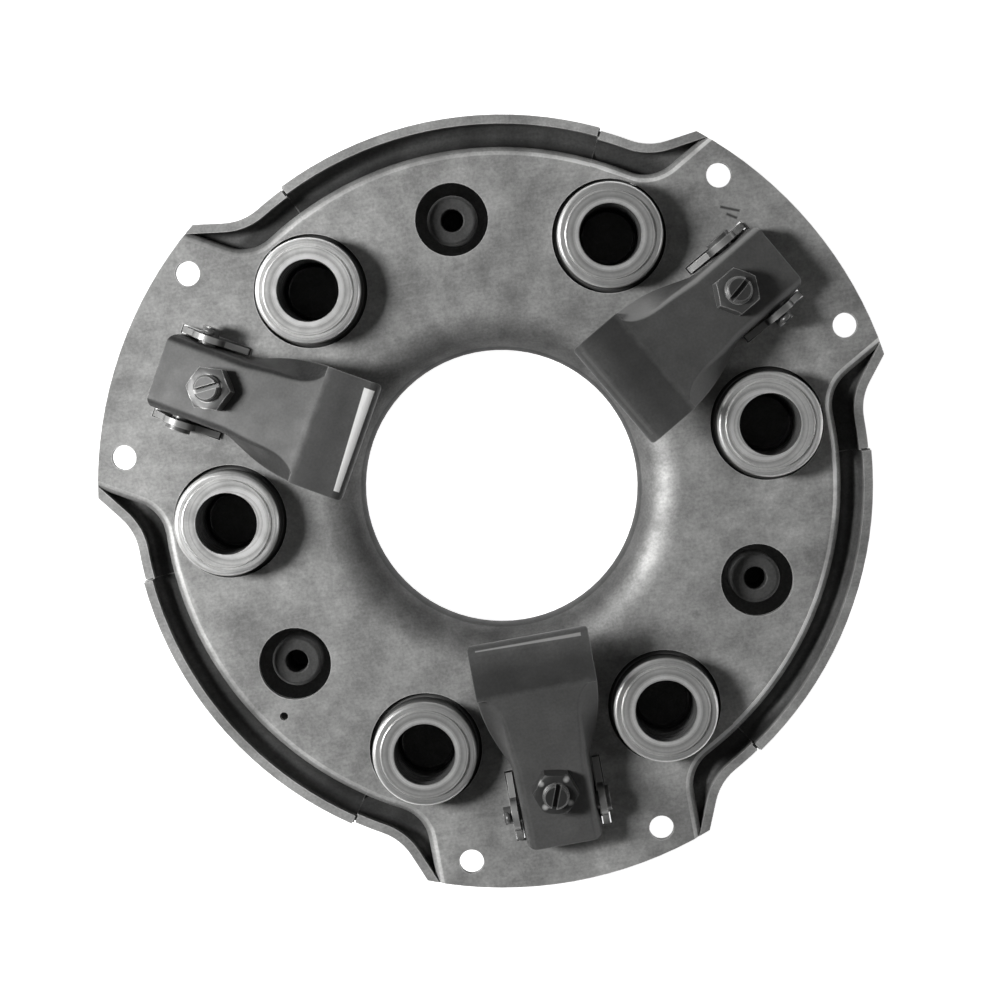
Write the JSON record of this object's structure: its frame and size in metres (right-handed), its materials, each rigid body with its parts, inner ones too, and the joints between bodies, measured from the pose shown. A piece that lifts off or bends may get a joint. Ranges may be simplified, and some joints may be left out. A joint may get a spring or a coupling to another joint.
{
  "type": "clutch pressure plate",
  "caption": "Coil-spring clutch cover assembly: pressed steel cover with bolt lugs, spring cups, release levers with adjusting screws, and a cast pressure plate",
  "frame": {"origin": "centre of the cover bolt circle, on the plane where the lugs seat on the flywheel", "axes": "+Z points to the release side, away from the flywheel; one lug stands toward -Y, the others at 30 and 150 degrees from +X"},
  "size_m": [0.2856, 0.2775, 0.0616],
  "materials": {
    "cover_steel": "pressed sheet, satin with mill mottling",
    "cup_steel": "drawn sheet, brighter than the cover",
    "spring_steel": "oil-blackened wire",
    "plate_iron": "as cast, ground on the friction face",
    "bracket_steel": "pressed sheet",
    "bolt_steel": "black oxide",
    "pin_steel": "turned",
    "cotter_steel": "bright wire",
    "lever_steel": "pressed sheet, hardened dark at the tongue",
    "screw_steel": "machined",
    "nut_steel": "machined"
  },
  "bodies": {
    "cover": {"cover": "cover_steel", "spring_cup_1": "cup_steel", "spring_cup_2": "cup_steel", "spring_cup_3": "cup_steel", "spring_cup_4": "cup_steel", "spring_cup_5": "cup_steel", "spring_cup_6": "cup_steel", "pressure_spring_1": "spring_steel", "pressure_spring_2": "spring_steel", "pressure_spring_3": "spring_steel", "pressure_spring_4": "spring_steel", "pressure_spring_5": "spring_steel", "pressure_spring_6": "spring_steel"},
    "pressure_plate": {"pressure_plate": "plate_iron", "lever_bracket_1": "bracket_steel", "lever_bracket_2": "bracket_steel", "lever_bracket_3": "bracket_steel", "bracket_bolts": "bolt_steel", "lever_pin_1": "pin_steel", "lever_pin_2": "pin_steel", "lever_pin_3": "pin_steel", "cotter_pins": "cotter_steel"},
    "lever_1": {"release_lever_1": "lever_steel", "adjusting_screw_1": "screw_steel", "lock_nut_1": "nut_steel"},
    "lever_2": {"release_lever_2": "lever_steel", "adjusting_screw_2": "screw_steel", "lock_nut_2": "nut_steel"},
    "lever_3": {"release_lever_3": "lever_steel", "adjusting_screw_3": "screw_steel", "lock_nut_3": "nut_steel"}
  },
  "joints": [
    {"name": "plate_lift", "type": "slide", "parent": "cover", "child": "pressure_plate", "axis": [0, 0, 1], "range_m": [0, 0.0031], "stiffness_N_per_m": 20000, "springref_m": -0.005, "deforming": ["pressure_spring_1", "pressure_spring_2", "pressure_spring_3", "pressure_spring_4", "pressure_spring_5", "pressure_spring_6"]},
    {"name": "lever_turn_1", "type": "hinge", "parent": "pressure_plate", "child": "lever_1", "pos_m": [0.09994, 0.0577, 0.0095], "axis": [0.5, -0.866, 0], "range_deg": [0, 17.5]},
    {"name": "lever_turn_2", "type": "hinge", "parent": "pressure_plate", "child": "lever_2", "pos_m": [-0.09994, 0.0577, 0.0095], "axis": [0.5, 0.866, 0], "range_deg": [0, 17.5]},
    {"name": "lever_turn_3", "type": "hinge", "parent": "pressure_plate", "child": "lever_3", "pos_m": [0, -0.1154, 0.0095], "axis": [-1, 0, 0], "range_deg": [0, 17.5]}
  ],
  "couplings": [
    {"joint": "lever_turn_1", "follows": "plate_lift", "rad_per_m": 97.5},
    {"joint": "lever_turn_2", "follows": "plate_lift", "rad_per_m": 97.5},
    {"joint": "lever_turn_3", "follows": "plate_lift", "rad_per_m": 97.5}
  ]
}
